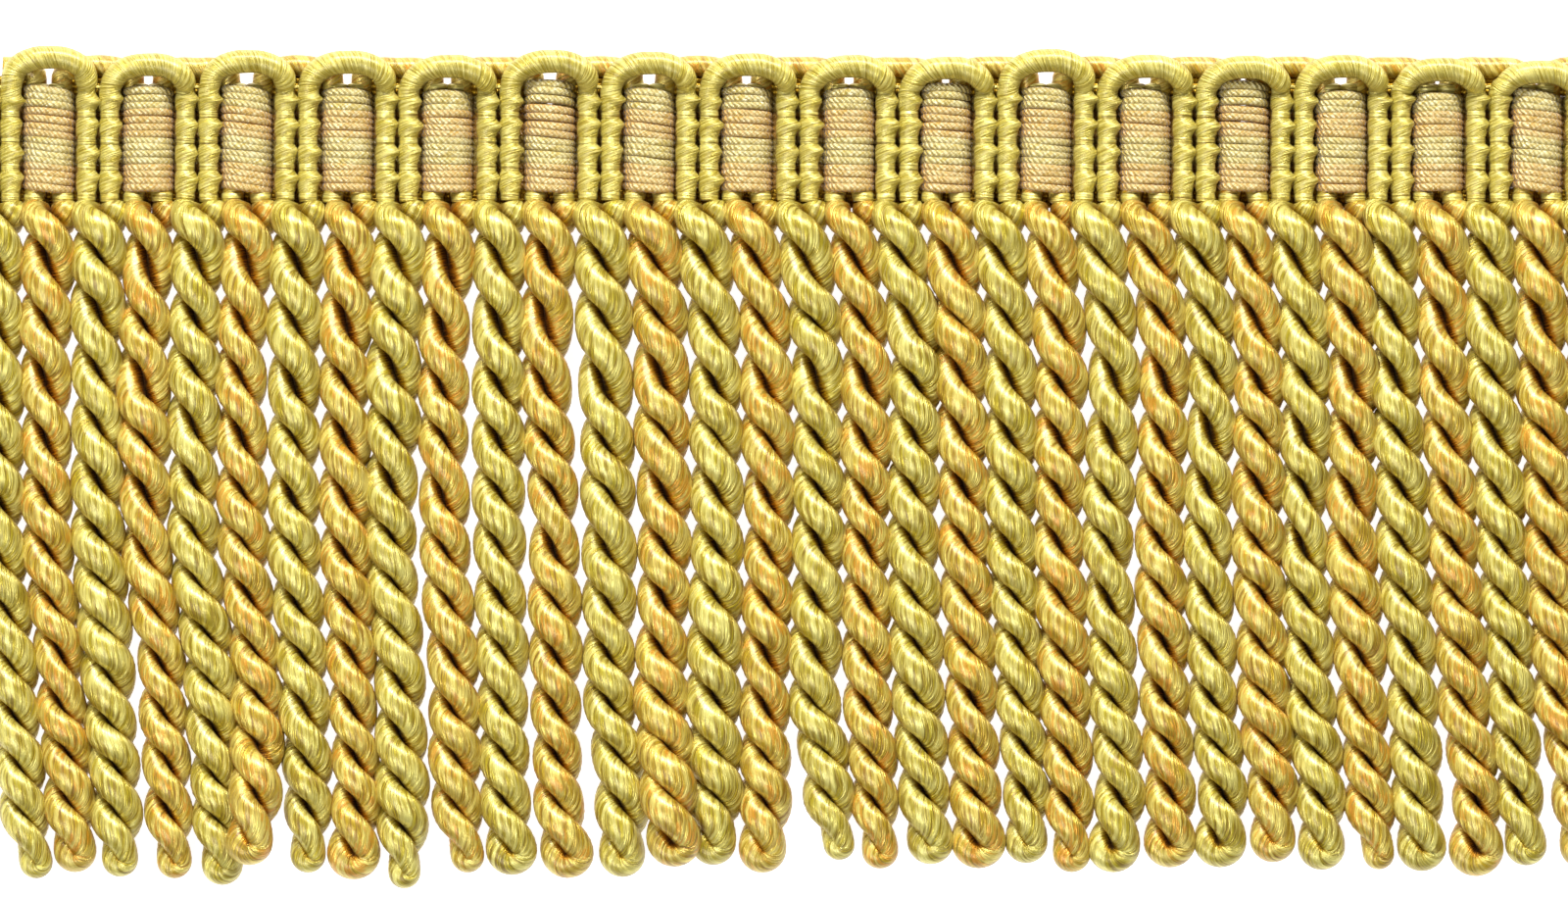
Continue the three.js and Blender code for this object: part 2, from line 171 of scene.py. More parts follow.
def mapRange(tree, value, low, high, newLow=0.0, newHigh=1.0):
    node = tree.nodes.new("ShaderNodeMapRange")
    node.interpolation_type = "SMOOTHSTEP"
    tree.links.new(value, node.inputs["Value"])
    limits = {"From Min": low, "From Max": high, "To Min": newLow, "To Max": newHigh}
    for label, number in limits.items():
        node.inputs[label].default_value = number
    return node.outputs[0]


def mixColour(tree, factor, first, second):
    node = tree.nodes.new("ShaderNodeMix")
    node.data_type = "RGBA"
    for socket, value in ((node.inputs[0], factor), (node.inputs[6], first), (node.inputs[7], second)):
        if isinstance(value, (int, float)):
            socket.default_value = value
        elif isinstance(value, tuple):
            socket.default_value = (*value, 1)
        else:
            tree.links.new(value, socket)
    return node.outputs[2]


def noise(tree, vector, scale, detail):
    node = tree.nodes.new("ShaderNodeTexNoise")
    node.inputs["Scale"].default_value = scale
    node.inputs["Detail"].default_value = detail
    tree.links.new(vector, node.inputs["Vector"])
    return node.outputs["Fac"]


# Filaments wound round a cord. The wrap UV is in mm: X along the cord, Y round it.
filamentLook = {
    "fineStretch": 0.24,  # the lower, the longer a streak runs on
    "fineDetail": 2,
    "fineRange": (0.4, 0.61),
    "fineRelief": 0.8,
    "broadStretch": 0.2,
    "broadDetail": 3,
    "broadRange": (0.38, 0.66),
    "broadRelief": 0.9,
}


def woundFilaments():
    look = filamentLook
    inputs = [
        ("Wrap", "NodeSocketVector", None),
        ("Lean", "NodeSocketFloat", 0.5),
        ("Fine", "NodeSocketFloat", 6.0),
        ("Broad", "NodeSocketFloat", 1.3),
    ]
    outputs = [(label, "NodeSocketFloat") for label in ("Streak", "Bundle", "Height")]
    group, enter, leave = newGroup("woundFilaments", inputs, outputs)
    split = group.nodes.new("ShaderNodeSeparateXYZ")
    group.links.new(enter.outputs["Wrap"], split.inputs[0])
    along = split.outputs[0]
    around = split.outputs[1]
    cosine = mathNode(group, "COSINE", enter.outputs["Lean"])
    sine = mathNode(group, "SINE", enter.outputs["Lean"])
    straight = mathNode(group, "MULTIPLY", along, cosine)
    across = mathNode(group, "SUBTRACT", straight, mathNode(group, "MULTIPLY", around, sine))
    slanting = mathNode(group, "MULTIPLY", along, sine)
    onward = mathNode(group, "ADD", slanting, mathNode(group, "MULTIPLY", around, cosine))

    def streaks(acrossScale, onwardScale, detail):
        join = group.nodes.new("ShaderNodeCombineXYZ")
        group.links.new(mathNode(group, "MULTIPLY", across, acrossScale), join.inputs[0])
        group.links.new(mathNode(group, "MULTIPLY", onward, onwardScale), join.inputs[1])
        return noise(group, join.outputs[0], 1.0, detail)

    fine = streaks(enter.outputs["Fine"], look["fineStretch"], look["fineDetail"])
    broad = streaks(enter.outputs["Broad"], look["broadStretch"], look["broadDetail"])
    group.links.new(mapRange(group, fine, *look["fineRange"]), leave.inputs["Streak"])
    group.links.new(mapRange(group, broad, *look["broadRange"]), leave.inputs["Bundle"])
    fineHeight = mathNode(group, "MULTIPLY", fine, look["fineRelief"])
    broadHeight = mathNode(group, "MULTIPLY", broad, look["broadRelief"])
    group.links.new(mathNode(group, "ADD", fineHeight, broadHeight), leave.inputs["Height"])
    return group


filaments = woundFilaments()


def addFilaments(tree, wrap, lean, fine, broad):
    node = tree.nodes.new("ShaderNodeGroup")
    node.node_tree = filaments
    tree.links.new(wrap, node.inputs["Wrap"])
    node.inputs["Lean"].default_value = lean
    node.inputs["Fine"].default_value = fine
    node.inputs["Broad"].default_value = broad
    return node


def startMaterial(name):
    material = bpy.data.materials.new(name)
    material.use_nodes = True
    tree = material.node_tree
    return material, tree, tree.nodes["Principled BSDF"]


def wrapVector(tree):
    node = tree.nodes.new("ShaderNodeUVMap")
    node.uv_map = "wrap"
    return node.outputs[0]


def addBump(tree, shader, height, strength, distance):
    bump = tree.nodes.new("ShaderNodeBump")
    bump.inputs["Strength"].default_value = strength
    bump.inputs["Distance"].default_value = distance
    tree.links.new(height, bump.inputs["Height"])
    tree.links.new(bump.outputs[0], shader.inputs["Normal"])


# What every gimp finish shares. The ranges are parts of the painted shade between two plies.
gimpShade = {
    "fleckLean": -0.05,
    "fleckFine": 3.4,
    "fleckBroad": 0.45,
    "fleckRange": (0.3, 0.62),
    "raggedShare": -0.5,
    "raggedTop": 1.25,
    "brownRange": (0.02, 0.56),
    "blackRange": (0.58, 0.92),
    "dullness": 0.12,  # added roughness between the streaks
    "metallicRange": (0.1, 0.6),
    "deepMetallic": 0.85,
    "glossRange": (0.0, 0.3),
    "coatRoughness": 0.27,
    "specular": 0.8,
    "specularTint": (1.0, 1.0, 0.95, 1),
    "sheen": 0.05,
    "sheenRoughness": 0.4,
    "sheenTint": (1.0, 0.92, 0.6, 1),
    "relief": 0.00025,
}


# Satin gimp: filaments wound round a core, with painted shade where two plies meet and on the flanks, and
# flecks of another colour
def gimpMaterial(name, settings):
    shade = gimpShade
    material, tree, shader = startMaterial(name)
    wrap = wrapVector(tree)
    wound = addFilaments(tree, wrap, settings["lean"], settings["fine"], settings["broad"])
    colour = mixColour(tree, wound.outputs["Streak"], settings["dark"], settings["mid"])
    # pale bundles: partly the filaments' own tone, partly painted satin sheen
    pale = mathNode(tree, "MULTIPLY", wound.outputs["Bundle"], settings["paleShare"])
    colour = mixColour(tree, pale, colour, settings["pale"])
    if settings["fleck"] > 0:
        lean = settings["lean"] + shade["fleckLean"]
        flecks = addFilaments(tree, wrap, lean, shade["fleckFine"], shade["fleckBroad"])
        joined = mathNode(tree, "MULTIPLY", flecks.outputs["Streak"], flecks.outputs["Bundle"])
        fleck = mapRange(tree, joined, *shade["fleckRange"], 0.0, settings["fleck"])
        colour = mixColour(tree, fleck, colour, settings["fleckColour"])
    # painted shade: the deep attribute turns the colour brown, then near black, where plies meet and on
    # the flanks
    attribute = tree.nodes.new("ShaderNodeAttribute")
    attribute.attribute_name = "deep"
    # the painted shade runs further out along some filaments than along others
    ragged = mathNode(tree, "MULTIPLY", wound.outputs["Streak"], shade["raggedShare"])
    ragged = mathNode(tree, "ADD", ragged, shade["raggedTop"])
    deep = mathNode(tree, "MULTIPLY", attribute.outputs["Fac"], ragged)
    brown = mapRange(tree, deep, *shade["brownRange"], 0.0, settings["deepShare"])
    colour = mixColour(tree, brown, colour, settings["deepColour"])
    black = mapRange(tree, deep, *shade["blackRange"], 0.0, settings["deepShare"])
    colour = mixColour(tree, black, colour, settings["innerColour"])
    tree.links.new(colour, shader.inputs["Base Color"])
    smooth = settings["roughness"]
    rough = mapRange(tree, wound.outputs["Streak"], 0, 1, smooth + shade["dullness"], smooth)
    tree.links.new(rough, shader.inputs["Roughness"])
    # in the painted shade between plies the finish turns to dark metal with no coat, so it reflects
    # nothing white
    metal = mapRange(tree, deep, *shade["metallicRange"], settings["metallic"], shade["deepMetallic"])
    tree.links.new(metal, shader.inputs["Metallic"])
    gloss = mapRange(tree, deep, *shade["glossRange"], settings["gloss"], 0.0)
    tree.links.new(gloss, shader.inputs["Coat Weight"])
    shader.inputs["Coat Roughness"].default_value = shade["coatRoughness"]
    shader.inputs["Specular IOR Level"].default_value = shade["specular"]
    shader.inputs["Specular Tint"].default_value = shade["specularTint"]
    shader.inputs["Sheen Weight"].default_value = shade["sheen"]
    shader.inputs["Sheen Roughness"].default_value = shade["sheenRoughness"]
    shader.inputs["Sheen Tint"].default_value = shade["sheenTint"]
    addBump(tree, shader, wound.outputs["Height"], settings["bump"], shade["relief"])
    return material


oliveLook = {
    "lean": -0.46,
    "fine": 8.5,
    "broad": 2.4,
    "dark": (0.26, 0.17, 0.006),
    "mid": (0.54, 0.43, 0.018),
    # pale and paleShare: partly the filaments' own tone, partly painted satin sheen
    "pale": (0.88, 0.8, 0.23),
    "paleShare": 0.8,
    "fleck": 0.0,
    # the colours and share of the painted shade between plies and on the flanks
    "deepColour": (0.34, 0.19, 0.001),
    "innerColour": (0.08, 0.028, 0.001),
    "deepShare": 0.95,
    "roughness": 0.3,
    "metallic": 0.46,
    "gloss": 0.52,
    "bump": 1.0,
}
goldLook = {
    **oliveLook,
    "dark": (0.29, 0.15, 0.006),
    "mid": (0.58, 0.39, 0.014),
    "pale": (0.9, 0.76, 0.19),
    "fleck": 0.72,
    "fleckColour": (0.68, 0.29, 0.014),
    # painted shade between plies, redder for the gold
    "deepColour": (0.4, 0.16, 0.001),
    "innerColour": (0.09, 0.026, 0.001),
}
threadLook = {
    **oliveLook,
    "lean": 0.04,
    "fine": 4.6,
    "broad": 3.4,
    "dark": (0.24, 0.16, 0.01),
    "mid": (0.6, 0.48, 0.08),
}
scallopFinish = {
    **oliveLook,
    "lean": -0.36,
    "fine": 10.0,
    "broad": 4.4,
    "dark": (0.36, 0.26, 0.01),
    "mid": (0.6, 0.49, 0.055),
    "pale": (0.9, 0.81, 0.25),
    "paleShare": 0.7,
    "roughness": 0.36,
    "gloss": 0.5,
}
oliveGimp = gimpMaterial("oliveGimp", oliveLook)
smoothOlive = gimpMaterial("smoothOlive", scallopFinish)
goldGimp = gimpMaterial("goldGimp", goldLook)
bindingThread = gimpMaterial("bindingThread", threadLook)


# Warp yarns, in mm
yarnLook = {
    "count": 15,
    "top": 5.35,
    "bottom": -5.95,
    "radius": 0.56,
    "girth": 3.5,
    "strands": 4,
    "strandSpacing": 0.62,
    "wobble": 3.2,  # how unevenly the strands are twisted, in radians
    "spacing": 0.22,
    "hiddenSpacing": 1.1,
    "sides": 8,
    "halfWidth": 2.72,
    "back": 0.62,
    "rise": 2.9,
    "squareness": 2.4,
    "peach": [3, 4, 5, 6, 11, 12, 13, 14],
    "overhang": 2.9,
    "lumps": 0.08,
    "humpSteps": 15,
    "droop": 0.3,  # of the upper yarns, at the middle of a block
}

# What both yarn finishes share
yarnShade = {
    "lean": 0.75,
    "fine": 9.0,
    "broad": 1.6,
    "bundleShare": 0.35,
    "wobbleScale": 0.7,
    # painted shade in the grooves between strands, between yarns and at the block's sides
    "grooveRange": (0.4, 1.0),
    "grooveShare": 0.6,
    "flankRange": (0.35, 0.9),
    "flankShare": 0.8,
    "sideHeights": (0.0019, 0.0041),  # metres above the back, where the painted shade on the sides passes into the face
    "roughness": 0.24,
    "specular": 1.0,
    "sheen": 0.25,
    "sheenRoughness": 0.4,
    "grooveDepth": 0.9,
    "bump": 0.9,
    "relief": 0.0002,
}


# Cabled warp yarn: slanting strands, pale on their crowns, with painted shade in their grooves, between
# yarns and deeper at the block's sides
def yarnMaterial(name, settings):
    shade = yarnShade
    material, tree, shader = startMaterial(name)
    wrap = wrapVector(tree)
    split = tree.nodes.new("ShaderNodeSeparateXYZ")
    tree.links.new(wrap, split.inputs[0])
    along = mathNode(tree, "MULTIPLY", split.outputs[0], math.pi / yarnLook["strandSpacing"])
    turns = math.pi * yarnLook["strands"] / yarnLook["girth"]
    phase = mathNode(tree, "ADD", along, mathNode(tree, "MULTIPLY", split.outputs[1], turns))
    wobble = mathNode(tree, "MULTIPLY", noise(tree, wrap, shade["wobbleScale"], 1), yarnLook["wobble"])
    phase = mathNode(tree, "ADD", phase, wobble)
    valley = mathNode(tree, "POWER", mathNode(tree, "SINE", phase), 2)
    wound = addFilaments(tree, wrap, shade["lean"], shade["fine"], shade["broad"])
    colour = mixColour(tree, wound.outputs["Streak"], settings["mid"], settings["pale"])
    bundle = mathNode(tree, "MULTIPLY", wound.outputs["Bundle"], shade["bundleShare"])
    colour = mixColour(tree, bundle, colour, settings["dark"])
    # painted shade in the grooves between strands
    groove = mapRange(tree, valley, *shade["grooveRange"], 0.0, shade["grooveShare"])
    colour = mixColour(tree, groove, colour, settings["dark"])
    # painted shade on each yarn's flanks, where it meets the next yarn
    turn = mathNode(tree, "MULTIPLY", split.outputs[1], 2 * math.pi / yarnLook["girth"])
    flank = mathNode(tree, "POWER", mathNode(tree, "COSINE", turn), 2)
    flank = mapRange(tree, flank, *shade["flankRange"], 0.0, shade["flankShare"])
    colour = mixColour(tree, flank, colour, settings["sideShade"])
    # painted shade at the block's sides, where the yarns bend down to the back
    place = tree.nodes.new("ShaderNodeTexCoord")
    height = tree.nodes.new("ShaderNodeSeparateXYZ")
    tree.links.new(place.outputs["Object"], height.inputs[0])
    side = mapRange(tree, height.outputs[2], *shade["sideHeights"], settings["sideShadeShare"], 0.0)
    colour = mixColour(tree, side, colour, settings["sideShade"])
    tree.links.new(colour, shader.inputs["Base Color"])
    shader.inputs["Roughness"].default_value = shade["roughness"]
    shader.inputs["Specular IOR Level"].default_value = shade["specular"]
    shader.inputs["Sheen Weight"].default_value = shade["sheen"]
    shader.inputs["Sheen Roughness"].default_value = shade["sheenRoughness"]
    grooves = mathNode(tree, "MULTIPLY", valley, shade["grooveDepth"])
    relief = mathNode(tree, "SUBTRACT", wound.outputs["Height"], grooves)
    addBump(tree, shader, relief, shade["bump"], shade["relief"])
    return material


creamLook = {
    "dark": (0.35, 0.22, 0.012),
    "mid": (0.62, 0.49, 0.13),
    "pale": (0.84, 0.78, 0.44),
    # painted shade between yarns and at the block's sides
    "sideShade": (0.37, 0.23, 0.01),
    "sideShadeShare": 0.75,
}
peachLook = {
    "dark": (0.44, 0.22, 0.012),
    "mid": (0.59, 0.4, 0.1),
    "pale": (0.79, 0.68, 0.36),
    # painted shade between yarns and at the block's sides
    "sideShade": (0.47, 0.21, 0.008),
    "sideShadeShare": 0.8,
}
creamYarn = yarnMaterial("creamYarn", creamLook)
peachYarn = yarnMaterial("peachYarn", peachLook)
done("finishes made")


# Laying cords: a grid is rolled round a path, so the seam lies on the side away from outward
curveSteps = 24
flankShade = 0.47  # how much painted shade darkens the flanks of a cord, where it turns down from the lights


def resample(points, spacing):
    points = np.array(points, float)
    padded = np.vstack([2 * points[0] - points[1], points, 2 * points[-1] - points[-2]])
    dense = []
    for a, b, c, d in zip(padded, padded[1:], padded[2:], padded[3:]):
        t = np.linspace(0, 1, curveSteps, endpoint=False)[:, None]
        square = (2 * a - 5 * b + 4 * c - d) * t**2
        cube = (3 * b - a - 3 * c + d) * t**3
        dense.append(0.5 * (2 * b + (c - a) * t + square + cube))
    dense = np.vstack([*dense, points[-1:]])
    lengths = np.concatenate([[0], np.cumsum(np.linalg.norm(np.diff(dense, axis=0), axis=1))])
    stations = np.linspace(0, lengths[-1], max(int(lengths[-1] / spacing), 2) + 1)
    return np.column_stack([np.interp(stations, lengths, dense[:, i]) for i in range(3)])


def softened(path, low, high, times):
    path = path.copy()
    for _ in range(times):
        path[low:high] = (path[low - 1:high - 1] + 2 * path[low:high] + path[low + 1:high + 1]) / 4
    return path


def newPiece():
    bm = bmesh.new()
    bm.loops.layers.uv.new("wrap")
    # deep holds how much painted shade each point gets
    bm.verts.layers.float.new("deep")
    return bm


def unit(vectors):
    return vectors / np.linalg.norm(vectors, axis=-1, keepdims=True)


# The way out of the trim's face, at each ring of a cord
def facing(path):
    return np.tile([0.0, 0.0, 1.0], (len(path), 1))


# Slow random changes of thickness along a cord
def lumpy(count, amount, rng, reach=9):
    knots = [rng.uniform(-amount, amount) for _ in range(count // reach + 3)]
    return 1 + np.interp(np.linspace(0, len(knots) - 1, count), range(len(knots)), knots)


# Closes a cord's ends with flat caps
def capped(path, radii):
    radii = radii.copy()
    path = path.copy()
    radii[[0, -1]] = 0.0
    path[0] = path[1] + (path[0] - path[1]) * 0.02
    path[-1] = path[-2] + (path[-1] - path[-2]) * 0.02
    return path, radii


# The angles of a cord's sides, from the seam round to the seam. At 0 a side faces outward.
def sideAngles(sides):
    return np.pi - 2 * np.pi * np.arange(sides + 1) / sides


# path, outward and radii are in mm. radii holds one number a ring, or one for each ring and side.
def layCord(bm, path, outward, radii, sides, deep=None, start=0.0, girth=None):
    uvLayer = bm.loops.layers.uv["wrap"]
    deepLayer = bm.verts.layers.float["deep"]
    rings = len(path)
    known = len(bm.faces)
    made = bmesh.ops.create_grid(bm, x_segments=rings - 1, y_segments=sides, size=0.5)["verts"]
    tangent = unit(np.gradient(path, axis=0))
    normal = unit(outward - tangent * np.sum(outward * tangent, axis=1, keepdims=True))
    binormal = np.cross(tangent, normal)
    angle = sideAngles(sides)
    radii = np.asarray(radii, float)
    if radii.ndim == 1:
        radii = np.repeat(radii[:, None], sides + 1, axis=1)
    out = np.cos(angle)[None, :, None] * normal[:, None, :]
    around = np.sin(angle)[None, :, None] * binormal[:, None, :]
    places = path[:, None, :] + (out + around) * radii[:, :, None]
    steps = np.linalg.norm(np.diff(path, axis=0), axis=1)
    lengths = start + np.concatenate([[0], np.cumsum(steps)])
    girth = girth or 2 * np.pi * float(np.median(radii))
    if deep is None:
        deep = np.zeros((rings, sides + 1))
    # painted shade on the flanks, where the surface turns down towards the floor
    level = (places[:, :, 2] - path[:, 2:3]) / np.maximum(radii, 0.1)
    deep = np.maximum(deep, flankShade * ease(-level, -0.5, 0.15))
    spots = {}
    for vert in made:
        ring = round((vert.co.x + 0.5) * (rings - 1))
        side = round((vert.co.y + 0.5) * sides)
        spots[vert] = (lengths[ring], girth * side / sides)
        vert.co = places[ring, side] * mm
        vert[deepLayer] = deep[ring, side]
    bm.faces.ensure_lookup_table()
    for face in bm.faces[known:]:
        face.smooth = True
        for loop in face.loops:
            loop[uvLayer].uv = spots[loop.vert]


def finishPiece(bm, name, material, node):
    bmesh.ops.remove_doubles(bm, verts=bm.verts[:], dist=1e-7)
    bmesh.ops.recalc_face_normals(bm, faces=bm.faces[:])
    mesh = bpy.data.meshes.new(name)
    bm.to_mesh(mesh)
    bm.free()
    piece = bpy.data.objects.new(name, mesh)
    bpy.context.scene.collection.objects.link(piece)
    mesh.materials.append(material)
    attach(piece, "root")
    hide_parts(node)


# Ropes: one cord each, down as one ply, round the end curl and back up as the other
ropeLook = {
    "ply": 1.88,
    "inward": 1.06,
    "outward": 0.85,
    "helix": 1.82,
    "lowerShare": 0.93,
    "fatness": 0.07,
    "fatter": {12: 1.07, 13: 1.07, 14: 1.04},
    "rootHelix": {"olive": 1.45, "gold": 1.75},
    "rootZ": {"olive": 2.5, "gold": 2.2},
    "rootShade": 0.35,  # share of the painted shade between the plies at the root
    "boundRadius": 1.45,
    "bulge": 0.3,
    "bulgeBelow": 2.6,
    "bulgeReach": 1.4,
    "clearance": 0.3,
    # stretches below the root
    "thickens": (0.1, 1.4),
    "opens": (0.2, 3),
    # the painted shade between the plies grows in over this stretch
    "darkens": (0.3, 4.5),
    "settles": (0, 4.5),
    "twists": (0.6, 3.8),
    "quickens": (1, 6),
    # stretches above the tip
    "slows": (1, 5),
    "narrows": (0, 6),
    "thins": (0.5, 6),
    "lifts": (6, 14),
    "softTimes": 4,
    "softRings": 5,
    "tipPlyShare": 0.36,  # of the end curl's width
    "tipPlyLeast": 1.5,
    "tipTurnShare": 0.54,
    "tipTurnLeast": 0.7,
    "tipTurnMost": 1.9,
    "tipSteps": 17,
    "ringsPerFold": 12,
    "sides": 18,
    "tightening": 0.15,
    "stripY": -7.56,
    "lumps": 0.08,
    "twistWander": 0.4,
    "quickCrossing": 0.28,
    "deepRange": (0.08, 0.9),  # painted shade between the plies, over the cosine of the angle from outward
    "flatness": 1.5,
}


def ropeX(index, below):
    row = ropeRows[index]
    even = (index - (len(ropeRows) - 1) / 2) * trim["repeat"] / 2
    depths = [0, *ropeDepths.values(), row["drop"]]
    shifts = [row[key] for key in ("root", *ropeDepths, "tip")]
    place = np.full(np.shape(below), shifts[0], float)
    for low, high, first, second in zip(depths, depths[1:], shifts, shifts[1:]):
        place = place + (second - first) * ease(below, low, high)
    return even + place


def ropePly(index):
    row = ropeRows[index]
    look = ropeLook
    tipPly = float(np.clip(row["curl"] * look["tipPlyShare"], look["tipPlyLeast"], look["ply"]))
    turn = row["curl"] * look["tipTurnShare"] - tipPly * look["outward"]
    turn = float(np.clip(turn, look["tipTurnLeast"], look["tipTurnMost"]))
    tipY = look["stripY"] - row["drop"]
    length = trim["ropeRoot"] - (tipY + tipPly * look["outward"] + turn)
    rings = row["folds"] * look["ringsPerFold"] + 1
    t = np.linspace(0, 1, rings)
    below = t * length
    above = length - below
    y = trim["ropeRoot"] - below
    x = ropeX(index, np.maximum(look["stripY"] - y, 0))
    tight = look["tightening"]
    rng = random.Random(300 + index)
    knots = [0, 0, *[rng.uniform(-1, 1) * look["twistWander"] for _ in range(row["folds"] - 2)], 0, 0]
    wander = np.interp(t * (len(knots) - 1), range(len(knots)), knots)
    turned = t * (1 - tight) + tight * t * t
    twist = np.pi * row["folds"] * turned * ease(below, *look["twists"]) + wander
    quick = look["quickCrossing"] * ease(below, *look["quickens"]) * ease(above, *look["slows"])
    twist = twist - quick * np.sin(2 * twist) / 2
    toTip = ease(above, *look["narrows"])
    kind = "olive" if index % 2 == 0 else "gold"
    size = lumpy(rings, look["fatness"], random.Random(700 + index), 30)
    size = size * (1 + (look["lowerShare"] - 1) * t) * look["fatter"].get(index, 1)
    rootHelix = look["rootHelix"][kind]
    rootZ = look["rootZ"][kind]
    helix = look["helix"] * size
    helix = helix + (rootHelix - helix) * (1 - ease(below, *look["opens"]))
    helix = helix + look["bulge"] * np.exp(-(((below - look["bulgeBelow"]) / look["bulgeReach"]) ** 2))
    helix = turn + (helix - turn) * toTip
    restZ = (look["ply"] * look["outward"] + look["helix"]) * size + look["clearance"]
    near, far = look["lifts"]
    lifted = row["lift"] * ease(below, length - far, length - near)
    z = rootZ + (restZ - rootZ) * ease(below, *look["settles"]) + lifted
    across = np.column_stack([np.cos(twist), np.zeros(rings), -np.sin(twist)])
    centre = np.column_stack([x, y, z])
    left = centre - across * helix[:, None]
    right = centre + across * helix[:, None]
    beta = np.linspace(0, np.pi, look["tipSteps"])[1:-1, None]
    bend = -across[-1] * np.cos(beta) + np.array([0, -1, 0]) * np.sin(beta)
    path = np.vstack([left, centre[-1] + bend * turn, right[::-1]])
    outward = np.vstack([-across, bend, across[::-1]])
    extra = look["softRings"]
    path = softened(path, rings - extra, rings + len(bend) + extra, look["softTimes"])
    extra = extra + 1
    outward = softened(outward, rings - extra, rings + len(bend) + extra, look["softTimes"])
    half = tipPly + (look["ply"] * size - tipPly) * ease(above, *look["thins"])
    half = look["boundRadius"] + (half - look["boundRadius"]) * ease(below, *look["thickens"])
    radii = np.concatenate([half, np.full(len(bend), tipPly), half[::-1]])
    return path, outward, radii


def makeRope(index):
    look = ropeLook
    rng = random.Random(100 + index)
    path, outward, radii = ropePly(index)
    radii = radii * lumpy(len(radii), look["lumps"], rng)
    angle = sideAngles(look["sides"])
    # painted shade on the side of each ply that faces the other, weaker at the root
    fromRoot = ease(trim["ropeRoot"] - path[:, 1], *look["darkens"])
    share = look["rootShade"] + (1 - look["rootShade"]) * fromRoot
    deep = ease(-np.cos(angle), *look["deepRange"])[None, :] * share[:, None]
    inner = (1 - np.cos(angle)) / 2
    section = look["outward"] + (look["inward"] - look["outward"]) * inner**2
    section = 1 + (section - 1) * np.abs(np.cos(angle)) ** look["flatness"]
    radii = radii[:, None] * section[None, :]
    radii[[0, -1]] = 0
    bm = newPiece()
    girth = 2 * np.pi * look["ply"]
    layCord(bm, path, outward, radii, look["sides"], deep, start=31.0 * index, girth=girth)
    material = oliveGimp if index % 2 == 0 else goldGimp
    finishPiece(bm, f"rope_{index + 1:02d}", material, "bullion_fringe")


for index in range(len(ropeRows)):
    makeRope(index)
done("ropes twisted")


# Olive scallops: up a bound leg, over the block, down the next leg
scallopLook = {
    "leg": 1.31,
    "arch": 1.42,
    "legToArch": (6.2, 7.6),
    "legZ": 2.5,
    "crownZ": 4.15,
    "bottom": -7.7,
    "cutTop": 6.9,
    "lumps": 0.03,
    "squeeze": 0.27,
    "squeezeReach": 0.55,
    "swell": 0.75,
    "swellReach": 0.52,
    "swellTurn": np.pi / 3.6,  # from the face towards the upper right
    "spacing": 0.34,
    "sides": 20,
}


# The bindings draw the gimp in. The top row is only on the leg that a scallop comes down on.
def boundRadii(path, radius):
    look = scallopLook
    rising = np.gradient(path[:, 1]) > 0
    radii = radius.copy()
    for number, row in enumerate(trim["bandRows"]):
        reach = np.exp(-(((path[:, 1] - row) / look["squeezeReach"]) ** 2))
        if number == 0:
            reach = np.where(rising, 0, reach)
        radii -= look["squeeze"] * reach * radius
    return radii


# Between two bindings the gimp swells to the upper right
def swellLegs(path, radii, angle, rng):
    look = scallopLook
    rising = np.where(np.gradient(path[:, 1]) > 0, 1, -1)
    lobe = np.clip(np.cos(angle[None, :] - rising[:, None] * look["swellTurn"]), 0, 1) ** 3
    radii = np.repeat(radii[:, None], len(angle), axis=1)
    rows = trim["bandRows"]
    for upper, lower in zip(rows, rows[1:]):
        centre = (upper + lower) / 2 + rng.uniform(0.1, 0.6)
        amount = look["swell"] * rng.uniform(0.6, 1.3)
        swell = amount * np.exp(-(((path[:, 1] - centre) / look["swellReach"]) ** 2))
        radii += swell[:, None] * lobe
    return radii


def layOlive(name, points, seed):
    look = scallopLook
    rng = random.Random(seed)
    path = resample(points, look["spacing"])
    onLeg = 1 - ease(path[:, 1], *look["legToArch"])
    radius = look["arch"] + (look["leg"] - look["arch"]) * onLeg
    radii = boundRadii(path, radius) * lumpy(len(path), look["lumps"], rng)
    angle = sideAngles(look["sides"])
    radii = swellLegs(path, radii, angle, rng)
    path, radii = capped(path, radii)
    bm = newPiece()
    girth = 2 * np.pi * look["leg"]
    layCord(bm, path, facing(path), radii, look["sides"], start=seed * 7.0, girth=girth)
    finishPiece(bm, name, smoothOlive, "scallop_gimp")


def makeScallop(index):
    look = scallopLook
    x = blockX[index]
    left = pairX[index] + trim["pairHalf"]
    right = pairX[index + 1] - trim["pairHalf"]
    crown = blocks[index]["crown"] - look["arch"]
    legZ = look["legZ"]
    crownZ = look["crownZ"]
    points = [
        (left, look["bottom"], legZ),
        (left, -3.0, legZ),
        (left, 1.0, legZ),
        (left, 4.6, legZ),
        (left + 0.08, 6.0, legZ + 0.3),
        (left + 0.55, crown - 1.75, legZ + 0.75),
        (x - 3.1, crown - 0.72, legZ + 1.25),
        (x - 1.4, crown - 0.12, crownZ),
        (x + 0.3, crown, crownZ),
        (x + 2.0, crown - 0.1, crownZ),
        (right - 1.1, crown - 0.75, crownZ),
        (right - 0.15, crown - 1.75, crownZ - 0.4),
        (right + 0.05, 6.0, legZ + 0.3),
        (right, 4.6, legZ),
        (right, 1.0, legZ),
        (right, -3.0, legZ),
        (right, look["bottom"], legZ),
    ]
    layOlive(f"scallop_{index + 1:02d}", points, index + 1)


def makeCutLeg(name, x, rising, seed):
    look = scallopLook
    points = [(x, y, look["legZ"]) for y in (look["bottom"], 0.0, look["cutTop"])]
    layOlive(name, points if rising else points[::-1], seed)


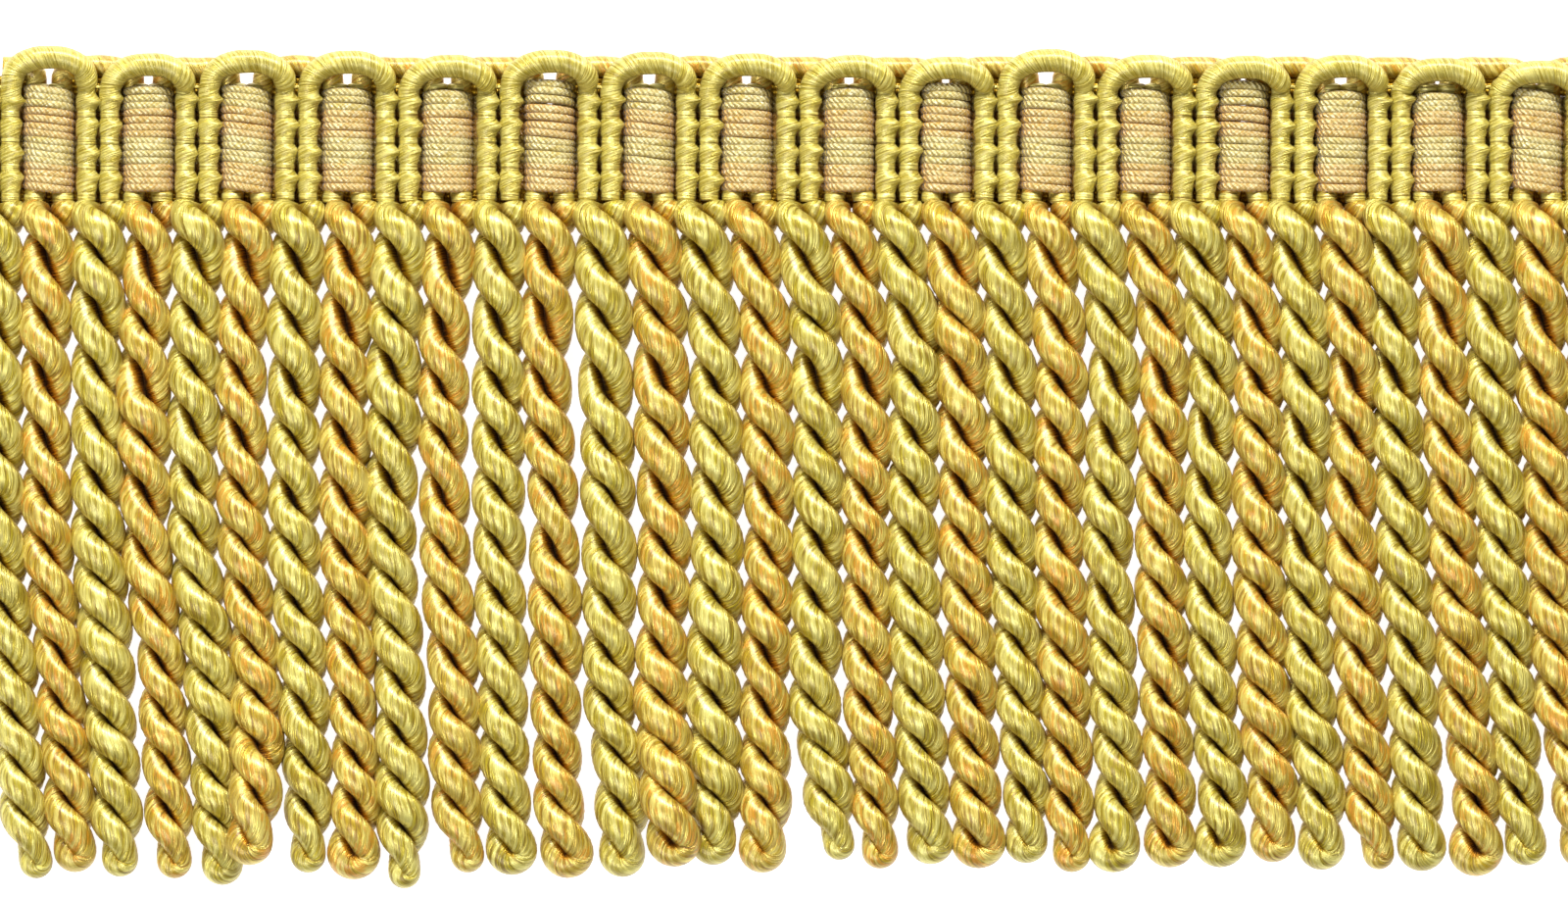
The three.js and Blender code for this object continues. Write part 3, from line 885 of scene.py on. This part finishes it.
for index in range(len(blocks)):
    makeScallop(index)
makeCutLeg("cut_leg_left", pairX[0] - trim["pairHalf"], False, 40)
makeCutLeg("cut_leg_right", pairX[-1] + trim["pairHalf"], True, 41)
done("scallops laid")


# Gold loops: up under one block, behind the scallops, down under the next
loopLook = {
    "radius": 1.32,
    "z": 1.36,
    "rootLift": 0.7,
    "bottom": -7.5,
    "top": 8.75,
    "lumps": 0.03,
    "spacing": 0.42,
    "sides": 18,
}


# One leg of a loop and its bend outwards, from the root up. Under the scallop the legs stand apart.
def loopSide(index, towards):
    look = loopLook
    z = look["z"]
    x = blockX[index]
    near = x + towards * trim["goldHalf"]
    apart = x + towards * (look["radius"] + blocks[index]["gap"])
    return [
        (near + towards * 0.2, look["bottom"], z + look["rootLift"]),
        (near, -5.6, z + 0.1),
        (near, -1.0, z),
        (near, 4.0, z),
        ((near + apart) / 2, 5.8, z),
        (apart - towards * 0.1, 7.2, z),
        (apart + towards * 0.1, 8.0, z),
        (apart + towards * 1.7, look["top"] - 0.1, z),
    ]


def layGold(name, points, seed):
    look = loopLook
    path = resample(points, look["spacing"])
    radii = look["radius"] * lumpy(len(path), look["lumps"], random.Random(seed))
    path, radii = capped(path, radii)
    bm = newPiece()
    girth = 2 * np.pi * look["radius"]
    layCord(bm, path, facing(path), radii, look["sides"], start=seed * 11.0, girth=girth)
    finishPiece(bm, name, goldGimp, "loop_gimp")


def loopMiddle(x, rise=0):
    return x, loopLook["top"] + rise, loopLook["z"]


for index in range(len(blocks) - 1):
    middle = loopMiddle(pairX[index + 1], random.Random(index).uniform(-0.15, 0.25))
    points = [*loopSide(index, 1), middle, *reversed(loopSide(index + 1, -1))]
    layGold(f"loop_{index + 1:02d}", points, index + 60)
layGold("cut_loop_left", [*loopSide(0, -1), loopMiddle(pairX[0])], 90)
layGold("cut_loop_right", [*loopSide(len(blocks) - 1, 1), loopMiddle(pairX[-1])], 91)
done("loops laid")


# Warp yarns: over each block, flat behind the olive legs
def yarnPath(row):
    look = yarnLook
    rng = random.Random(500 + row)
    even = look["top"] + (look["bottom"] - look["top"]) * row / (look["count"] - 1)
    points = [(pairX[0] - look["overhang"], even, look["back"])]
    for index, x in enumerate(blockX):
        slant = random.Random(index).uniform(-0.05, 0.42) + rng.uniform(-0.09, 0.09)
        wave = rng.uniform(-0.12, 0.12) - look["droop"] * float(ease(even, -1, 5.5))
        ride = blocks[index]["ride"] * float(ease(even, 0, 5.4))
        power = 2 / look["squareness"]
        for theta in np.linspace(0, np.pi, look["humpSteps"]):
            out = math.cos(theta)
            across = -math.copysign(abs(out) ** power, out) * look["halfWidth"]
            height = look["back"] + look["rise"] * max(math.sin(theta), 0) ** power
            drop = slant * across / look["halfWidth"] + wave * math.sin(theta)
            points.append((x + across, even + ride - drop, height))
        points.append((pairX[index + 1], even, look["back"]))
    points[-1] = (pairX[-1] + look["overhang"], even, look["back"])
    return resample(points, look["spacing"])


def makeYarn(row):
    look = yarnLook
    path = yarnPath(row)
    hidden = path[:, 2] < look["back"] + 0.12
    every = int(look["hiddenSpacing"] / look["spacing"])
    keep = ~hidden | (np.arange(len(path)) % every == 0)
    keep[[0, -1]] = True
    path = path[keep]
    radii = look["radius"] * lumpy(len(path), look["lumps"], random.Random(900 + row))
    radii[[0, -1]] = 0
    outward = np.tile([0.0, 1.0, 0.0], (len(path), 1))
    bm = newPiece()
    layCord(bm, path, outward, radii, look["sides"], start=row * 17.0, girth=look["girth"])
    material = peachYarn if row in look["peach"] else creamYarn
    finishPiece(bm, f"warp_yarn_{row + 1:02d}", material, "warp_band")


for row in range(yarnLook["count"]):
    makeYarn(row)
done("warp yarns woven")


# Binding threads: a few turns round each leg, at each row of the heading
bindLook = {
    "height": 1.1,
    "radius": 1.17,
    "sides": 12,
    "goldX": 1.25,
    "goldY": 6.08,
    "goldZ": 1.52,
    "goldRadius": 1.36,
    "knotY": 6.32,
    "knotZ": 2.9,
    "weftRows": [5.75, 6.45, 7.15],
    "weftZ": 0.95,
    "weftRadius": 0.56,
    "weftReach": 5.4,
    "cutShift": 1.2,  # inwards, at the two cut ends
    "weftRise": 0.25,
    "weftSides": 10,
    "weftShade": 0.6,  # how much painted shade darkens the bundles in the hollow behind the legs
    "knotHalf": 0.55,
    "knotRadius": 0.2,
    "knotRise": 0.2,
    "knotSides": 8,
    "rootDrop": 0.15,
    "rootGrowth": 0.12,
    "rootRows": [-6.5, -7.0, -7.5, -8.05],
    "rootWeftPast": 2.6,
    "rootWeftSides": 8,
    "rootWeftZ": 1.0,
    "rootWeftRadius": 0.46,
    # painted shade on the root weft, in the gaps between the roots
    "rootWeftShade": 0.66,
    "girth": 7.0,
}


def addBinding(bm, x, y, z, radius, rng):
    look = bindLook
    tilt = rng.uniform(-0.05, 0.05)
    part = np.array([-0.5, -0.5, -0.42, 0.0, 0.42, 0.56, 0.68, 0.68])
    path = np.column_stack([x + tilt * part, y + look["height"] * part, np.full(len(part), z)])
    path[0, 1] -= 0.01
    path[-1, 1] += 0.01
    radii = radius * np.array([0, 0.9, 0.99, 1.02, 0.99, 0.86, 0.55, 0])
    start = rng.uniform(0, 90)
    layCord(bm, path, facing(path), radii, look["sides"], start=start, girth=look["girth"])


# A bundle of weft crosses behind each pair of legs, and a loose thread shows between them
def addWeft(bm, x, rng):
    look = bindLook
    middle = x + {pairX[0]: look["cutShift"], pairX[-1]: -look["cutShift"]}.get(x, 0)
    for row in look["weftRows"]:
        part = np.linspace(-1, 1, 9)
        across = middle + look["weftReach"] * part
        height = look["weftZ"] + look["weftRise"] * (1 - part**2)
        path = np.column_stack([across, row - 0.1 * part, height])
        path, radii = capped(path, np.full(len(part), look["weftRadius"]))
        sides = look["weftSides"]
        # the bundles are darkened with painted shade
        deep = np.full((len(path), sides + 1), look["weftShade"])
        layCord(bm, path, facing(path), radii, sides, deep, start=rng.uniform(0, 90))
    part = np.linspace(-1, 1, 7)
    drop = rng.uniform(-0.1, 0.1)
    across = x + look["knotHalf"] * part
    height = look["knotZ"] + look["knotRise"] * (1 - part**2)
    path = np.column_stack([across, look["knotY"] + drop * part, height])
    path, radii = capped(path, np.full(len(part), look["knotRadius"]))
    layCord(bm, path, facing(path), radii, look["knotSides"], start=rng.uniform(0, 90))


def finishThreads(bm, name, node):
    finishPiece(bm, name, bindingThread, node)


def bindLegs(rng):
    bm = newPiece()
    for pair in pairX:
        for side in (-1, 1):
            rows = trim["bandRows"] if side < 0 else trim["bandRows"][1:]
            for row in rows:
                y = row + rng.uniform(-0.1, 0.1)
                x = pair + side * trim["pairHalf"]
                addBinding(bm, x, y, scallopLook["legZ"], bindLook["radius"], rng)
    finishThreads(bm, "leg_bindings", "scallop_gimp")


def bindLoops(rng):
    look = bindLook
    bm = newPiece()
    for block in blockX:
        for side in (-1, 1):
            x = block + side * look["goldX"]
            addBinding(bm, x, look["goldY"], look["goldZ"], look["goldRadius"], rng)
    finishThreads(bm, "loop_bindings", "loop_gimp")


def bindRoots(rng):
    look = bindLook
    bm = newPiece()
    for block in blockX:
        for side in (-1, 1):
            x = block + side * ropeLook["rootHelix"]["gold"]
            y = trim["bandRows"][-1] - look["rootDrop"] + rng.uniform(-0.1, 0.1)
            radius = look["radius"] + look["rootGrowth"]
            addBinding(bm, x, y, ropeLook["rootZ"]["gold"], radius, rng)
    finishThreads(bm, "root_bindings", "bullion_fringe")


def layRootWeft():
    look = bindLook
    bm = newPiece()
    for row in look["rootRows"]:
        x = np.arange(pairX[0] - look["rootWeftPast"], pairX[-1] + look["rootWeftPast"], 1.2)
        wave = 0.08 * np.sin(x * 1.3 + row)
        path = np.column_stack([x, row + wave, np.full(len(x), look["rootWeftZ"])])
        path, radii = capped(path, np.full(len(x), look["rootWeftRadius"]))
        sides = look["rootWeftSides"]
        # painted shade on the root weft
        deep = np.full((len(x), sides + 1), look["rootWeftShade"])
        layCord(bm, path, facing(path), radii, sides, deep, start=row)
    finishThreads(bm, "root_weft", "bullion_fringe")


def layWeft(rng):
    bm = newPiece()
    for pair in pairX:
        addWeft(bm, pair, rng)
    finishThreads(bm, "weft_threads", "warp_band")


rng = random.Random(7)
bindLegs(rng)
bindLoops(rng)
bindRoots(rng)
layRootWeft()
layWeft(rng)
done("bindings tied")


# Floor, lights and camera, in metres. The lights stand round the middle of the picture.
studio = {
    "floorHalf": 3.0,
    "floorGreys": [(0.5, 0.5, 0.5), (0.53, 0.53, 0.53)],
    "floorRoughness": 0.9,
    "floorGlow": 0.95,
    "skyGlow": 0.15,
    "lights": {
        "key": {"place": (0.05, 0.95, 0.76), "size": (1.2, 0.24), "power": 29},
        "fill": {"place": (-0.4, -0.3, 0.85), "size": (0.6, 0.6), "power": 6.5},
    },
}


def makeFloor():
    bm = bmesh.new()
    bmesh.ops.create_grid(bm, x_segments=1, y_segments=1, size=studio["floorHalf"])
    mesh = bpy.data.meshes.new("floor")
    bm.to_mesh(mesh)
    bm.free()
    floor = bpy.data.objects.new("floor", mesh)
    bpy.context.scene.collection.objects.link(floor)
    material, tree, shader = startMaterial("paleFloor")
    place = tree.nodes.new("ShaderNodeTexCoord")
    mottle = noise(tree, place.outputs["Object"], 3.0, 2)
    tree.links.new(mixColour(tree, mottle, *studio["floorGreys"]), shader.inputs["Base Color"])
    shader.inputs["Roughness"].default_value = studio["floorRoughness"]
    shader.inputs["Emission Color"].default_value = (1, 1, 1, 1)
    shader.inputs["Emission Strength"].default_value = studio["floorGlow"]
    mesh.materials.append(material)


def addLight(name, target, settings):
    data = bpy.data.lights.new(name, "AREA")
    data.shape = "RECTANGLE"
    data.size, data.size_y = settings["size"]
    data.energy = settings["power"]
    lamp = bpy.data.objects.new(name, data)
    lamp.location = target + Vector(settings["place"])
    lamp.rotation_euler = (target - lamp.location).to_track_quat("-Z", "Y").to_euler()
    bpy.context.scene.collection.objects.link(lamp)


def makeCamera():
    x = (view["width"] / 2 - view["middleX"]) * view["pixel"] * mm
    y = (view["middleY"] - view["height"] / 2) * view["pixel"] * mm
    data = bpy.data.cameras.new("camera")
    data.sensor_width = view["sensor"]
    data.lens = view["sensor"] * view["distance"] / (view["width"] * view["pixel"])
    camera = bpy.data.objects.new("camera", data)
    camera.location = (x, y, view["distance"] * mm)
    bpy.context.scene.collection.objects.link(camera)
    bpy.context.scene.camera = camera
    return Vector((x, y, 0))


def makeSky():
    world = bpy.data.worlds.new("studio")
    world.use_nodes = True
    background = world.node_tree.nodes["Background"]
    background.inputs["Color"].default_value = (1, 1, 1, 1)
    background.inputs["Strength"].default_value = studio["skyGlow"]
    bpy.context.scene.world = world


makeFloor()
target = makeCamera()
for name, settings in studio["lights"].items():
    addLight(name, target, settings)
makeSky()
bpy.context.scene.view_settings.view_transform = "Standard"
done("studio set")
